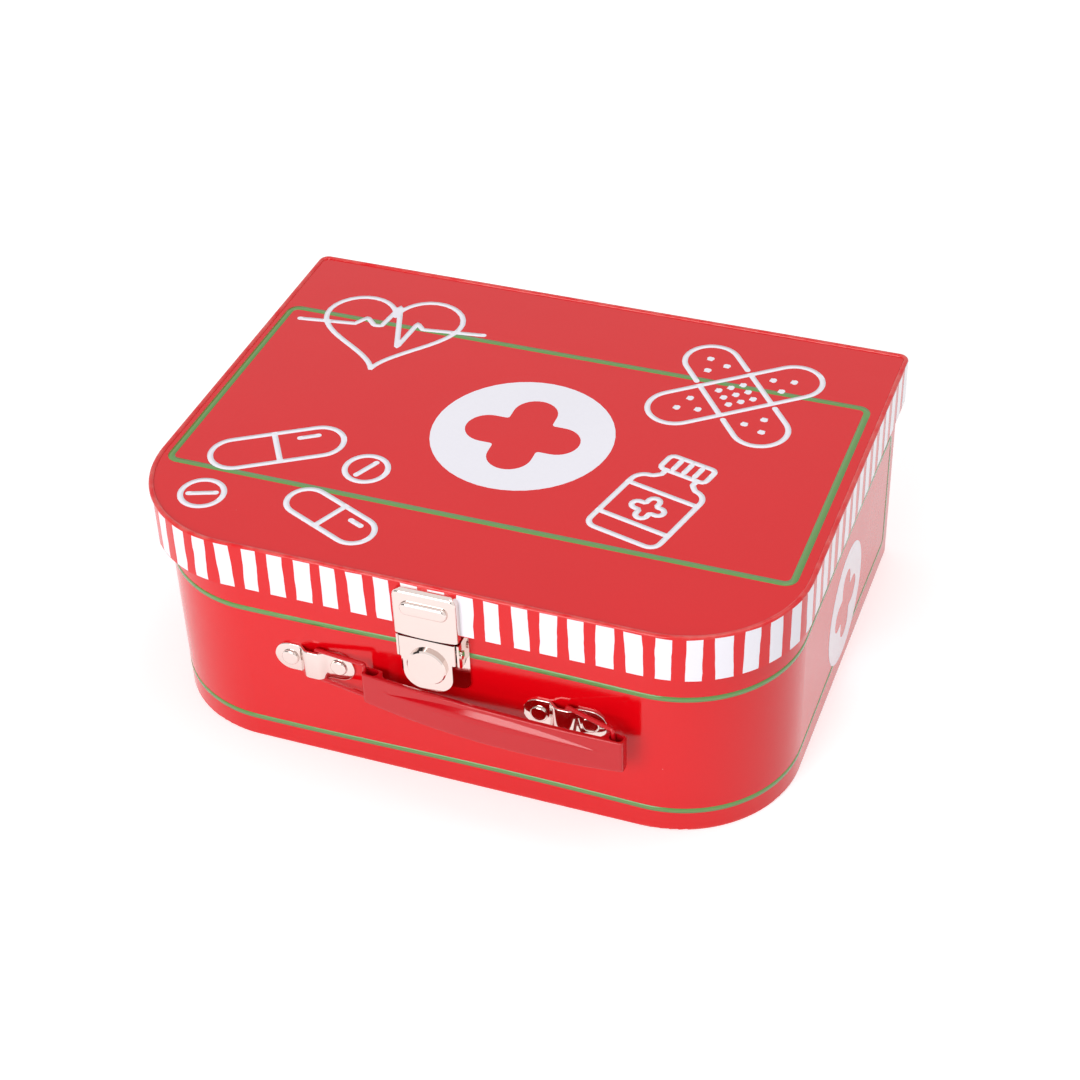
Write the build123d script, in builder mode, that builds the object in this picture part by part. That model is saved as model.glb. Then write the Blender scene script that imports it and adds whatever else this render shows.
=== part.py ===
from build123d import *
from math import cos, pi, radians, sin
import os

# Toy doctor case: a small paperboard suitcase with a telescoping lid, a press-button latch
# and a swing handle on two wire rings.
# Millimetres. +X runs along the width, the front faces -Y, +Z is up.
# The origin is the middle of the lid's footprint, on the floor that the case stands on.

# ---- Case: driving sizes
case_width = 250.0  # over the lid
case_depth = 190.0  # over the lid
case_height = 95.5  # floor to the rolled edge of the lid
board = 2.0  # paperboard of walls, floor and top
front_radius = 46.0  # plan radius of the two front corners
rear_radius = 4.0  # plan radius of the two rear corners
least_radius = 0.5  # of a corner inside the board
rim_height = 19.3  # lid rim, from its lower edge to its rolled edge
rolled_edge = 0.9  # rounding on both sides of the rim's upper edge
panel_drop = 0.7  # lid panel's face below the rolled edge
base_edge = 0.8  # rounding of the base wall's lower outer edge
side_gap = 1.0  # clearance between rim and base wall, left and right
front_gap = 2.6  # clearance in front, for the lid's swing
lid_overlap = 13.5  # base wall that stands up inside the closed lid
lining = 0.4  # paper lining
hinge_cloth = 0.4  # cloth strip across the rear joint
hinge_leaf = 12.0  # height of the strip above and below the joint
lining_margin = 1.2  # wall lining stops short of the rim's lower edge

# ---- Latch: driving sizes
sheet = 0.8  # stamped nickel-plated sheet
latch_stand = 3.2  # cap's face in front of the rim
cap_width = 24.0
cap_height = 19.0
cap_drop = 1.2  # cap's lower edge below the rim's lower edge
cap_sag = 0.8  # bow of the cap's lower edge
cap_corner = 3.0  # radius of its upper corners
cap_bend = 1.2  # radius of its folded edges
cap_bead_length = 18.0
cap_bead_width = 5.6
cap_bead_height = 1.4
cap_bead_round = 1.3
cap_bead_rise = 12.0  # bead's middle above the cap's lower edge
catch_width = 18.0  # plate that the cap is crimped on
catch_height = 11.6
tongue_width = 8.0
tongue_drop = 4.4  # tongue's end below the cap's lower edge
lip_depth = 1.2  # hook lip at the end of the tongue
plate_width = 26.4  # latch base plate
plate_thick = 1.0
plate_height = 25.5
plate_drop = 2.2  # plate's upper edge below the rim
plate_corner = 4.0
pin_drop = 8.7  # lever's pivot below the rim
pin_stand = 3.2  # pivot in front of the plate's face
pin_radius = 1.0
pin_clearance = 0.05
pin_head = 1.7  # radius of the peened pin ends
pin_head_thick = 0.5
ear_gap = 0.35  # between lever flange and ear
ear_reach = 2.6  # ear's edge in front of the pivot
ear_half_height = 5.6
ear_corner = 2.4
lever_top_gap = 0.6  # between cap and lever
lever_height = 22.6
lever_upper_width = 21.3
lever_lower_width = 18.6
lever_upper_height = 9.2
lever_toe = 7.0  # radius of the two lower corners
lever_bend = 0.7  # outer radius of its folded edges
flange_back = 1.9  # flange's rear edge behind the pivot
flange_below = 2.6  # flange's lower end below the pivot
flange_corner = 1.5
tab_width = 7.0  # catch tab folded in from the lever's upper edge
tab_depth = 0.9
button_radius = 7.4
button_height = 1.7
button_chamfer = 0.5
button_below_pin = 5.3
stem_radius = 2.0
stem_head = 3.2
stem_head_thick = 0.6
spring_wire = 0.7
spring_mean_radius = 2.0
spring_turns = 3.5
spring_pitch = 1.15
spring_x = -6.6  # coil's middle, beside the button's stem
spring_leg = 9.0
gap_samples = 400  # points on the wire that its gap is measured at

# ---- Handle: driving sizes
handle_drop = 31.2  # middle of clips and rings below the rim
clip_spacing = 96.4  # middle to middle
rivet_spacing = 19.2
clip_height = 12.4
clip_sheet = 1.0
bridge_flat = 3.6  # outer flat of the raised bridge
bridge_slope = 1.6  # run of each of its slanted sides
wire_radius = 1.0
ring_gap = 0.3  # wire to wall, and wire to bridge
ring_length = 24.0  # pivot to pivot
ring_inner_side = 15.4  # side held under the bridge
ring_outer_side = 20.5  # side held in the grip
ring_bend = 2.2  # centre-line radius of its corners
ring_left_angle = 8.0  # from the wall, handle swung to the right
ring_right_angle = 20.0
grip_height = 13.4
grip_rest_gap = 0.8  # grip above the rings' lower bars
grip_thick = 2.6
grip_bow = 3.0  # its middle stands out from the line of its pivots
grip_belly = 3.0  # its lower edge sags
barrel_radius = 3.3  # rolled ends
barrel_bore = 2.4  # loose on the ring's wire
barrel_proud = 0.25  # rolled end in front of the strap's face
barrel_over = 0.6  # rolled end above and below the strap's edges
grip_edge = 0.8
rib_length = 78.0  # lens-shaped rib along the grip's front
rib_radius = 4.6
rib_proud = 2.2

# ---- Rivets: driving sizes
rivet_radius = 1.5
rivet_head_radius = 3.3
rivet_head_height = 1.1
latch_rivet_head = 2.4
latch_rivet_head_height = 0.7
latch_rivet_low = 4.5  # lower rivet above the plate's lower edge
latch_rivet_high = 2.8  # upper rivet below its upper edge
washer_radius = 4.0
washer_thick = 0.5
tail_radius = 2.3
tail_height = 0.5
rivet_lip = 0.2  # straight edge under a domed head
catch_rivet_spacing = 11.0
catch_washer_radius = 3.0

# ---- Planes and edges that follow
half_width = case_width / 2
lid_front = -case_depth / 2
lid_rear = case_depth / 2
rim_bottom = case_height - rim_height
panel_top = case_height - panel_drop
panel_bottom = panel_top - board
base_half = half_width - board - side_gap
base_front = lid_front + board + front_gap
base_wall_top = rim_bottom + lid_overlap
wall_end = lid_rear - rear_radius  # base wall meets the rear wall here
hinge_y = lid_rear + hinge_cloth
hinge_z = rim_bottom
lining_back = base_front + board + lining  # inner face of the lined front wall
plate_top = rim_bottom - plate_drop
plate_bottom = plate_top - plate_height
pin_height = rim_bottom - pin_drop
handle_height = rim_bottom - handle_drop
cap_bottom = rim_bottom - cap_drop
cap_top = cap_bottom + cap_height
cap_bead_z = cap_bottom + cap_bead_rise
latch_face = lid_front - latch_stand  # shared front face of cap and lever
lever_top = cap_bottom - cap_sag - lever_top_gap
lever_bottom = lever_top - lever_height
plate_face = base_front - plate_thick
pin_y = plate_face - pin_stand
flange_outer = lever_upper_width / 2
ear_inner = flange_outer + ear_gap
clip_x = clip_spacing / 2
pivot_y = base_front - ring_gap - wire_radius


def case_outline(half, front, rear, radius_front, radius_rear):
    """Plan outline with two round front corners and two tight rear corners."""
    with BuildSketch() as outline:
        with Locations((0, (front + rear) / 2)):
            Rectangle(2 * half, rear - front)
        fillet(outline.vertices().group_by(Axis.Y)[0], radius_front)
        fillet(outline.vertices().group_by(Axis.Y)[-1].sort_by(Axis.X)[0], radius_rear)
        fillet(outline.vertices().group_by(Axis.Y)[-1].sort_by(Axis.X)[-1], radius_rear)
    return outline.sketch


def lid_outline(inset):
    return case_outline(
        half_width - inset, lid_front + inset, lid_rear - inset,
        front_radius - inset, max(rear_radius - inset, least_radius),
    )


def base_outline(inset):
    return case_outline(
        base_half - inset, base_front + inset, lid_rear - inset,
        front_radius - inset, max(rear_radius - inset, least_radius),
    )


# ==== Lid ====
with BuildPart() as lid_rim:
    with BuildSketch(Plane.XY.offset(rim_bottom)):
        add(lid_outline(0))
        add(lid_outline(board), mode=Mode.SUBTRACT)
    extrude(amount=rim_height)
    fillet(lid_rim.faces().sort_by(Axis.Z)[-1].edges(), rolled_edge)
    # holes for the two rivets that hold the latch catch
    with BuildSketch(Plane.XZ.offset(-lid_front)):
        with Locations((0, cap_bead_z)):
            with GridLocations(catch_rivet_spacing, 0, 2, 1):
                Circle(rivet_radius)
    extrude(amount=-board, mode=Mode.SUBTRACT)

with BuildPart() as lid_top:
    with BuildSketch(Plane.XY.offset(panel_bottom)):
        add(lid_outline(board))
    extrude(amount=board)

with BuildPart() as lid_lining:
    with BuildSketch(Plane.XY.offset(panel_bottom - lining)):
        add(lid_outline(board))
    extrude(amount=lining)

hinge_length = 2 * (base_half - rear_radius)
with BuildPart() as hinge_leaf_lid:
    with BuildSketch(Plane.XZ.offset(-hinge_y)):
        with Locations((0, hinge_z + hinge_leaf / 2)):
            Rectangle(hinge_length, hinge_leaf)
    extrude(amount=hinge_cloth)

with BuildPart() as hinge_leaf_base:
    with BuildSketch(Plane.XZ.offset(-hinge_y)):
        with Locations((0, hinge_z - hinge_leaf / 2)):
            Rectangle(hinge_length, hinge_leaf)
    extrude(amount=hinge_cloth)

# ==== Base ====
handle_rivet_points = [
    (side * clip_x + end * rivet_spacing / 2, handle_height) for side in (-1, 1) for end in (-1, 1)
]
latch_rivet_points = [(0, plate_bottom + latch_rivet_low), (0, plate_top - latch_rivet_high)]
wall_rivet_points = handle_rivet_points + latch_rivet_points

with BuildPart() as base_wall:
    with BuildSketch():
        add(base_outline(0))
        add(base_outline(board), mode=Mode.SUBTRACT)
    extrude(amount=base_wall_top)
    outer_foot = base_wall.faces().sort_by(Axis.Z)[0].outer_wire().edges()
    fillet(outer_foot, base_edge)
    split(bisect_by=Plane.XZ.offset(-wall_end), keep=Keep.TOP)
    with BuildSketch(Plane.XZ.offset(-base_front)):
        with Locations(*wall_rivet_points):
            Circle(rivet_radius)
    extrude(amount=-board, mode=Mode.SUBTRACT)

with BuildPart() as base_rear_wall:
    with BuildSketch():
        add(base_outline(0))
        add(base_outline(board), mode=Mode.SUBTRACT)
    extrude(amount=rim_bottom)
    rear_foot = base_rear_wall.faces().sort_by(Axis.Z)[0].outer_wire().edges()
    fillet(rear_foot, base_edge)
    split(bisect_by=Plane.XZ.offset(-wall_end), keep=Keep.BOTTOM)

with BuildPart() as base_floor:
    with BuildSketch():
        add(base_outline(board))
    extrude(amount=board)

with BuildPart() as base_floor_lining:
    with BuildSketch(Plane.XY.offset(board)):
        add(base_outline(board))
    extrude(amount=lining)

with BuildPart() as base_wall_lining:
    with BuildSketch(Plane.XY.offset(board + lining)):
        add(base_outline(board))
        add(base_outline(board + lining), mode=Mode.SUBTRACT)
    extrude(amount=rim_bottom - lining_margin - board - lining)
    with BuildSketch(Plane.XZ.offset(-base_front - board)):
        with Locations(*wall_rivet_points):
            Circle(rivet_radius)
    extrude(amount=-lining, mode=Mode.SUBTRACT)

# ==== Latch: cap and catch on the lid ====
with BuildPart() as latch_cap:
    with BuildSketch(Plane.XZ.offset(-lid_front)):
        with BuildLine():
            left_foot = (-cap_width / 2, cap_bottom)
            right_foot = (cap_width / 2, cap_bottom)
            ThreePointArc(left_foot, (0, cap_bottom - cap_sag), right_foot)
            Polyline(right_foot, (cap_width / 2, cap_top), (-cap_width / 2, cap_top), left_foot)
        make_face()
    extrude(amount=latch_stand)
    fillet(latch_cap.edges().filter_by(Axis.Y).group_by(Axis.Z)[-1], cap_corner)
    front_edges = latch_cap.faces().sort_by(Axis.Y)[0].edges()
    fillet(front_edges.filter_by(lambda e: e.center().Z > cap_bottom), cap_bend)
    cap_back = latch_cap.faces().sort_by(Axis.Y)[-1]
    cap_underside = latch_cap.faces().sort_by(Axis.Z)[0]
    offset(amount=-sheet, openings=[cap_back, cap_underside])
    with BuildSketch(Plane.XZ.offset(-latch_face)):
        with Locations((0, cap_bead_z)):
            SlotOverall(cap_bead_length, cap_bead_width)
    extrude(amount=cap_bead_height)
    fillet(latch_cap.faces().sort_by(Axis.Y)[0].edges(), cap_bead_round)

catch_plate_bottom = cap_bead_z - catch_height / 2
tongue_end = cap_bottom - tongue_drop
with BuildPart() as latch_catch:
    with BuildSketch(Plane.XZ.offset(-lid_front)):
        with Locations((0, cap_bead_z)):
            Rectangle(catch_width, catch_height)
        with Locations((0, catch_plate_bottom)):
            Rectangle(tongue_width, catch_plate_bottom - tongue_end, align=(Align.CENTER, Align.MAX))
        with Locations((0, cap_bead_z)):
            with GridLocations(catch_rivet_spacing, 0, 2, 1):
                Circle(rivet_radius, mode=Mode.SUBTRACT)
    extrude(amount=sheet)
    with BuildSketch(Plane.XZ.offset(-lid_front)):
        with Locations((0, tongue_end)):
            Rectangle(tongue_width, sheet, align=(Align.CENTER, Align.MIN))
    extrude(amount=lip_depth)

# ==== Latch: base plate, pin, lever, button and spring ====
with BuildPart() as latch_base_plate:
    with BuildSketch(Plane.XZ.offset(-base_front)):
        with Locations((0, plate_bottom)):
            Rectangle(plate_width, plate_top - plate_bottom, align=(Align.CENTER, Align.MIN))
        with Locations(*latch_rivet_points):
            Circle(rivet_radius, mode=Mode.SUBTRACT)
    extrude(amount=plate_thick)
    foot_corners = latch_base_plate.edges().filter_by(Axis.Y).filter_by(GeomType.LINE).group_by(Axis.Z)[0]
    fillet(foot_corners, plate_corner)
    # the two ears stand out from the plate, one on each side of the lever
    with BuildSketch(Plane.YZ.offset(ear_inner)) as ear:
        with Locations((plate_face, pin_height)):
            ear_depth = pin_stand + ear_reach
            Rectangle(ear_depth, 2 * ear_half_height, align=(Align.MAX, Align.CENTER))
        fillet(ear.vertices().group_by(Axis.Y)[0], ear_corner)
        with Locations((pin_y, pin_height)):
            Circle(pin_radius, mode=Mode.SUBTRACT)
    extrude(amount=sheet)
    mirror(about=Plane.YZ)

ear_outer = ear_inner + sheet
with BuildPart() as latch_pin:
    with BuildSketch(Plane.YZ.offset(-ear_outer)):
        with Locations((pin_y, pin_height)):
            Circle(pin_radius)
    extrude(amount=2 * ear_outer)
    for end, direction in ((-ear_outer, -1), (ear_outer, 1)):
        with BuildSketch(Plane.YZ.offset(end)):
            with Locations((pin_y, pin_height)):
                Circle(pin_head)
        extrude(amount=direction * pin_head_thick)

with BuildPart() as latch_lever:
    with BuildSketch(Plane.XZ.offset(-latch_face)) as face:
        with Locations((0, lever_bottom)):
            Rectangle(lever_lower_width, lever_height, align=(Align.CENTER, Align.MIN))
        fillet(face.vertices().group_by(Axis.Y)[0], lever_toe)
        with Locations((0, lever_top)):
            Rectangle(lever_upper_width, lever_upper_height, align=(Align.CENTER, Align.MAX))
        with Locations((0, pin_height - button_below_pin)):
            Circle(stem_radius, mode=Mode.SUBTRACT)
    extrude(amount=-sheet)
    # flanges folded back over the pin
    with BuildSketch(Plane.YZ.offset(flange_outer)) as flange:
        with Locations((latch_face, lever_top)):
            flange_depth = pin_y + flange_back - latch_face
            flange_height = lever_top - pin_height + flange_below
            Rectangle(flange_depth, flange_height, align=(Align.MIN, Align.MAX))
        fillet(flange.vertices().group_by(Axis.Y)[-1], flange_corner)
        with Locations((pin_y, pin_height)):
            Circle(pin_radius + pin_clearance, mode=Mode.SUBTRACT)
    extrude(amount=-sheet)
    mirror(about=Plane.YZ)
    # catch tab folded in from the upper edge
    with BuildSketch(Plane.XZ.offset(-latch_face - sheet)):
        with Locations((0, lever_top)):
            Rectangle(tab_width, sheet, align=(Align.CENTER, Align.MAX))
    extrude(amount=-tab_depth)
    bends = latch_lever.edges().filter_by(Axis.Z).group_by(Axis.Y)[0]
    fillet(bends.filter_by(lambda e: abs(abs(e.center().X) - flange_outer) < sheet / 2), lever_bend)

with BuildPart() as latch_button:
    button_z = pin_height - button_below_pin
    with BuildSketch(Plane.XZ.offset(-latch_face)):
        with Locations((0, button_z)):
            Circle(button_radius)
    extrude(amount=button_height)
    chamfer(latch_button.faces().sort_by(Axis.Y)[0].edges(), button_chamfer)
    with BuildSketch(Plane.XZ.offset(-latch_face)):
        with Locations((0, button_z)):
            Circle(stem_radius)
    extrude(amount=-sheet)
    with BuildSketch(Plane.XZ.offset(-latch_face - sheet)):
        with Locations((0, button_z)):
            Circle(stem_head)
    extrude(amount=-stem_head_thick)

# torsion spring: a coil round the pin with one leg on the plate and one behind the lever
spring_length = spring_turns * spring_pitch
coil = Helix(spring_pitch, spring_length, spring_mean_radius, direction=(1, 0, 0))
coil = Pos(spring_x - spring_length / 2, pin_y, pin_height) * Rot(-90, 0, 0) * coil
with BuildPart() as latch_spring:
    with BuildLine() as spring_path:
        add(coil)
        Line(coil @ 0 - (coil % 0) * spring_leg, coil @ 0)
        Line(coil @ 1, coil @ 1 + (coil % 1) * spring_leg)
    spring_wire_path = spring_path.wire()
    with BuildSketch(Plane(origin=spring_wire_path @ 0, z_dir=spring_wire_path % 0)):
        Circle(spring_wire / 2)
    sweep(path=spring_wire_path)

# least distance between two stretches of the wire that are over half a turn apart
spring_points = [spring_wire_path.position_at(i / gap_samples) for i in range(gap_samples + 1)]
half_turn = pi * spring_mean_radius
apart = int(half_turn / (spring_wire_path.length / gap_samples)) + 1
least_distance = min(
    (spring_points[j] - spring_points[i]).length
    for i in range(gap_samples + 1)
    for j in range(i + apart, gap_samples + 1)
)
print("least gap of the spring to itself", round(least_distance - spring_wire, 3))

# ==== Handle ====
bridge_inner_height = 2 * (ring_gap + wire_radius)
bridge_inner_half = bridge_flat / 2
strap_half = rivet_spacing / 2 + clip_height / 2
handle_clips = []
for side, place in (("left", -clip_x), ("right", clip_x)):
    wall_point = (place, base_front, handle_height)
    clip_front = Plane(origin=wall_point, x_dir=(1, 0, 0), z_dir=(0, -1, 0))
    with BuildPart() as clip:
        with BuildSketch(Plane(origin=wall_point, x_dir=(1, 0, 0), z_dir=(0, 0, 1))):
            with BuildLine():
                Polyline(
                    (-strap_half, 0),
                    (-bridge_inner_half - bridge_slope, 0),
                    (-bridge_inner_half, -bridge_inner_height),
                    (bridge_inner_half, -bridge_inner_height),
                    (bridge_inner_half + bridge_slope, 0),
                    (strap_half, 0),
                )
                offset(amount=clip_sheet, side=Side.RIGHT)
            make_face()
        extrude(amount=clip_height / 2, both=True)
        # two round lobes, drilled for the rivets
        with BuildSketch(clip_front):
            SlotCenterToCenter(rivet_spacing, clip_height)
            with GridLocations(rivet_spacing, 0, 2, 1):
                Circle(rivet_radius, mode=Mode.SUBTRACT)
        extrude(amount=bridge_inner_height + clip_sheet, mode=Mode.INTERSECT)
    clip.part.label = f"handle_clip_{side}"
    handle_clips.append(clip.part)

handle_rings = []
grip_pivots = []
ring_angles = {"left": ring_left_angle, "right": ring_right_angle}
for side, place in (("left", -clip_x), ("right", clip_x)):
    angle = radians(ring_angles[side])
    reach = (cos(angle), -sin(angle), 0)
    ring_plane = Plane(
        origin=(place, pivot_y, handle_height), x_dir=reach, z_dir=(-sin(angle), -cos(angle), 0)
    )
    with BuildPart() as ring:
        with BuildLine(ring_plane) as half_ring:
            FilletPolyline(
                (0, 0), (0, ring_inner_side / 2), (ring_length, ring_outer_side / 2), (ring_length, 0),
                radius=ring_bend,
            )
        with BuildSketch(Plane(origin=half_ring.line @ 0, z_dir=half_ring.line % 0)):
            Circle(wire_radius)
        sweep(path=half_ring.line)
        mirror(about=Plane.XY.offset(handle_height))
    ring.part.label = f"handle_ring_{side}"
    handle_rings.append(ring.part)
    grip_pivots.append(Vector(place, pivot_y, handle_height) + Vector(*reach) * ring_length)

grip_line = grip_pivots[1] - grip_pivots[0]
grip_length = grip_line.length
grip_floor = handle_height - ring_outer_side / 2 + wire_radius + grip_rest_gap
grip_origin = (grip_pivots[0].X, grip_pivots[0].Y, grip_floor)
grip_plan = Plane(origin=grip_origin, x_dir=grip_line.normalized(), z_dir=(0, 0, 1))
outward = -grip_plan.y_dir
grip_front = Plane(origin=grip_origin, x_dir=grip_plan.x_dir, z_dir=outward)
strap_front = barrel_radius - barrel_proud
strap_back = strap_front - grip_thick
with BuildPart() as handle_grip:
    # plan: a bowed strap between the two rolled ends
    with BuildSketch(grip_plan.offset(-grip_belly)):
        with BuildLine():
            ThreePointArc(
                (0, -strap_front), (grip_length / 2, -strap_front - grip_bow), (grip_length, -strap_front)
            )
            Line((grip_length, -strap_front), (grip_length, -strap_back))
            ThreePointArc(
                (grip_length, -strap_back), (grip_length / 2, -strap_back - grip_bow), (0, -strap_back)
            )
            Line((0, -strap_back), (0, -strap_front))
        make_face()
    extrude(amount=grip_height + grip_belly)
    # front view: straight upper edge, sagging lower edge
    with BuildSketch(grip_front):
        strap_top = grip_height - barrel_over
        with BuildLine():
            ThreePointArc(
                (0, barrel_over), (grip_length / 2, -grip_belly), (grip_length, barrel_over)
            )
            Polyline(
                (grip_length, barrel_over), (grip_length, strap_top), (0, strap_top), (0, barrel_over)
            )
        make_face()
    extrude(amount=barrel_radius + grip_bow, mode=Mode.INTERSECT)
    long_edges = handle_grip.edges().filter_by(lambda e: e.length > grip_length / 2)
    fillet(long_edges, grip_edge)
    with BuildSketch(grip_plan):
        with Locations((0, 0), (grip_length, 0)):
            Circle(barrel_radius)
    extrude(amount=grip_height)
    # lens-shaped rib along the front
    rib_middle = Plane(
        origin=grip_plan.from_local_coords(
            (grip_length / 2, -strap_front - grip_bow + rib_radius - rib_proud, grip_height / 2)
        ),
        x_dir=grip_plan.x_dir, z_dir=outward,
    )
    with BuildSketch(rib_middle):
        with BuildLine():
            ThreePointArc((-rib_length / 2, 0), (0, rib_radius), (rib_length / 2, 0))
            Line((rib_length / 2, 0), (-rib_length / 2, 0))
        make_face()
    revolve(axis=Axis(rib_middle.origin, rib_middle.x_dir), revolution_arc=180)
    # bores of the rolled ends
    with BuildSketch(grip_plan):
        with Locations((0, 0), (grip_length, 0)):
            Circle(barrel_bore)
    extrude(amount=grip_height, mode=Mode.SUBTRACT)


# ==== Rivets and washers ====
def rivet_group(points, seat, head, head_height, grip, tail):
    """Domed rivets through the front wall: seat is the face that the heads sit on."""
    with BuildPart() as rivets:
        with BuildSketch(Plane.XZ.offset(-seat)):
            with Locations(*points):
                Circle(head)
        extrude(amount=head_height)
        fillet(rivets.faces().group_by(Axis.Y)[0].edges(), head_height - rivet_lip)
        with BuildSketch(Plane.XZ.offset(-seat)):
            with Locations(*points):
                Circle(rivet_radius)
        extrude(amount=-grip)
        with BuildSketch(Plane.XZ.offset(-seat - grip)):
            with Locations(*points):
                Circle(tail)
        extrude(amount=-tail_height)
    return rivets.part


def washer_group(points, seat, radius):
    with BuildPart() as washers:
        with BuildSketch(Plane.XZ.offset(-seat)):
            with Locations(*points):
                Circle(radius)
                Circle(rivet_radius, mode=Mode.SUBTRACT)
        extrude(amount=-washer_thick)
    return washers.part


lined_wall = board + lining + washer_thick
catch_rivet_points = [(side * catch_rivet_spacing / 2, cap_bead_z) for side in (-1, 1)]
handle_rivets = rivet_group(
    handle_rivet_points, base_front - clip_sheet, rivet_head_radius, rivet_head_height,
    clip_sheet + lined_wall, tail_radius,
)
latch_rivets = rivet_group(
    latch_rivet_points, plate_face, latch_rivet_head, latch_rivet_head_height,
    plate_thick + lined_wall, tail_radius,
)
catch_rivets = rivet_group(
    catch_rivet_points, lid_front - sheet, latch_rivet_head, latch_rivet_head_height,
    sheet + board + washer_thick, tail_radius,
)
handle_washers = washer_group(handle_rivet_points, lining_back, washer_radius)
latch_washers = washer_group(latch_rivet_points, lining_back, washer_radius)
catch_washers = washer_group(catch_rivet_points, lid_front + board, catch_washer_radius)

# ==== Labels and files ====
pieces = {
    "lid_rim": lid_rim.part,
    "lid_top": lid_top.part,
    "lid_lining": lid_lining.part,
    "hinge_leaf_lid": hinge_leaf_lid.part,
    "latch_cap": latch_cap.part,
    "latch_catch": latch_catch.part,
    "catch_rivets": catch_rivets,
    "catch_washers": catch_washers,
    "base_wall": base_wall.part,
    "base_rear_wall": base_rear_wall.part,
    "base_floor": base_floor.part,
    "base_floor_lining": base_floor_lining.part,
    "base_wall_lining": base_wall_lining.part,
    "hinge_leaf_base": hinge_leaf_base.part,
    "latch_base_plate": latch_base_plate.part,
    "latch_pin": latch_pin.part,
    "latch_spring": latch_spring.part,
    "latch_rivets": latch_rivets,
    "latch_washers": latch_washers,
    "latch_lever": latch_lever.part,
    "latch_button": latch_button.part,
    "handle_rivets": handle_rivets,
    "handle_washers": handle_washers,
    "handle_grip": handle_grip.part,
}
for piece in handle_clips + handle_rings:
    pieces[piece.label] = piece

os.makedirs("parts", exist_ok=True)
for name, piece in pieces.items():
    piece.label = name
    export_step(piece, f"parts/{name}.step")

print("grip pivots", [tuple(round(v, 3) for v in pivot) for pivot in grip_pivots])
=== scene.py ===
# %% [markdown]
# # A toy doctor case
# This notebook dresses a small paperboard suitcase: its printed paper, its bright fittings and
# its glossy red handle. The shapes of the boards and fittings come packed from the CAD model.
# Here they get their finishes, and the printing is added as thin layers of ink on top.

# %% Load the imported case
import math

import bmesh
import bpy
from mathutils import Matrix, Vector


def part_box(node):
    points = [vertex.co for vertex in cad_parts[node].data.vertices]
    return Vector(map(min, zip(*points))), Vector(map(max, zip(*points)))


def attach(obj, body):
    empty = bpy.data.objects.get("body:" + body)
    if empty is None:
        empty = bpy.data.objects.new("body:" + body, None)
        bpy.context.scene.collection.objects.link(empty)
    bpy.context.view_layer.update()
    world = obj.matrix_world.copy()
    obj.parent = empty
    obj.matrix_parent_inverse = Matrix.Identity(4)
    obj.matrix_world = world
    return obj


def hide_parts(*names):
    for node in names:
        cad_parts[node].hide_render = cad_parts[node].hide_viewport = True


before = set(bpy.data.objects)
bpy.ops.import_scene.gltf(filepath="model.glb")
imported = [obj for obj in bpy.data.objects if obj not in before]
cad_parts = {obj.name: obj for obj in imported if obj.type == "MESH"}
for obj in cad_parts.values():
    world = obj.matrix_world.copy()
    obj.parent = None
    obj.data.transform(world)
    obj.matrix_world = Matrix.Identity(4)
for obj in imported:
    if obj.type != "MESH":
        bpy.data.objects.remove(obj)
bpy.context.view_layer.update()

# %% [markdown]
# ## Sizes
# Everything is in metres, in the same place as the CAD model: the latch faces -Y and Z is up.
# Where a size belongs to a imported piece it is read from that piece, so that the printing
# follows the board when the case is made larger or smaller. Only the corner radii are named
# here, because a bounding box doesn't show them. All that is made goes into the scene through
# one helper.

# %% Sizes of the boards
MM = 0.001
FRONT_RADIUS = 46 * MM
REAR_RADIUS = 4 * MM
rim_low, rim_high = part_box("lid_rim")
wall_low, wall_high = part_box("base_wall")
rear_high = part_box("base_rear_wall")[1]
panel_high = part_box("lid_top")[1]
RIM = {"half": rim_high[0], "front": rim_low[1], "rear": rim_high[1]}
WALL = {"half": wall_high[0], "front": wall_low[1], "rear": rear_high[1]}
print("rim from", round(rim_low[2], 4), "to", round(rim_high[2], 4))

# %% Object helper
def placed(name, data):
    """A new object in the scene that holds a mesh, a lamp or a camera."""
    made = bpy.data.objects.new(name, data)
    bpy.context.collection.objects.link(made)
    return made


print("object helper ready")

# %% [markdown]
# ## Camera
# The camera comes first, because every later choice is judged through it. It looks down on the
# case from the front right, from about ninety centimetres away through a long lens. The view is
# written as a turn, a drop and a small roll, and the camera's axes are worked out from those.

# %% Camera
VIEW_TURN = math.radians(-21.455)
VIEW_DROP = math.radians(38.190)
VIEW_ROLL = math.radians(-2.087)
VIEW_DISTANCE = 0.89893
VIEW_RIGHT = 0.003697
VIEW_UP = 0.035051
LENS = 75.153

forward = Vector((
    math.sin(VIEW_TURN) * math.cos(VIEW_DROP),
    math.cos(VIEW_TURN) * math.cos(VIEW_DROP),
    -math.sin(VIEW_DROP),
))
level_right = forward.cross(Vector((0, 0, 1))).normalized()
level_up = level_right.cross(forward)
right = math.cos(VIEW_ROLL) * level_right + math.sin(VIEW_ROLL) * level_up
up = math.cos(VIEW_ROLL) * level_up - math.sin(VIEW_ROLL) * level_right

camera = placed("camera", bpy.data.cameras.new("camera"))
camera.data.lens = LENS
camera.data.sensor_width = 36
camera.matrix_world = Matrix((right, up, -forward)).transposed().to_4x4()
camera.location = -forward * VIEW_DISTANCE + right * VIEW_RIGHT + up * VIEW_UP
bpy.context.scene.camera = camera
print("camera at", [round(v, 3) for v in camera.location])

# %% [markdown]
# ## A short way to write nodes
# Node trees get long when every link is a line of its own. This helper adds one node, sets its
# properties, and takes each input as either a plain value or the output of another node. Both
# the materials and the Geometry Nodes trees below are written with it.

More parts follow.
